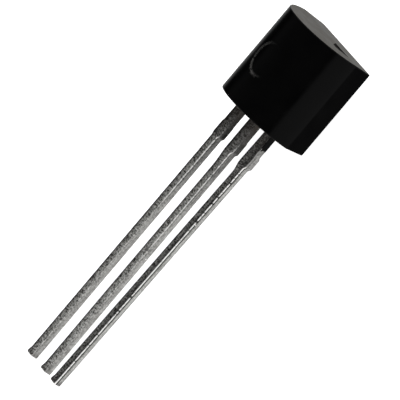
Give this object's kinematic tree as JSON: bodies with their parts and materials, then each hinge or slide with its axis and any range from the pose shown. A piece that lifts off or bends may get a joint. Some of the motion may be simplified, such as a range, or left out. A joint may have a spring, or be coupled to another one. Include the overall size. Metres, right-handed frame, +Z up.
{
  "type": "to-92 transistor",
  "caption": "Small-signal transistor in a D-shaped black epoxy body with straight tinned leads in line, lying on its flat.",
  "frame": {"origin": "middle of the footprint on the surface that the part lies on", "axes": "+X along the row of leads towards the emitter lead, +Y along the leads towards the body's top end, +Z up, from the flat towards the round back"},
  "size_m": [0.0048, 0.0192, 0.0038],
  "materials": {
    "epoxy": "satin moulded epoxy",
    "tinned_lead": "dull tin plate with drawing lines",
    "silver_epoxy": "matte",
    "silicon": "polished",
    "gold_wire": "bright"
  },
  "bodies": {
    "root": {"moulded_body": "epoxy", "emitter_lead": "tinned_lead", "collector_lead": "tinned_lead", "base_lead": "tinned_lead", "die_attach": "silver_epoxy", "silicon_die": "silicon", "emitter_wire": "gold_wire", "base_wire": "gold_wire"}
  },
  "joints": []
}
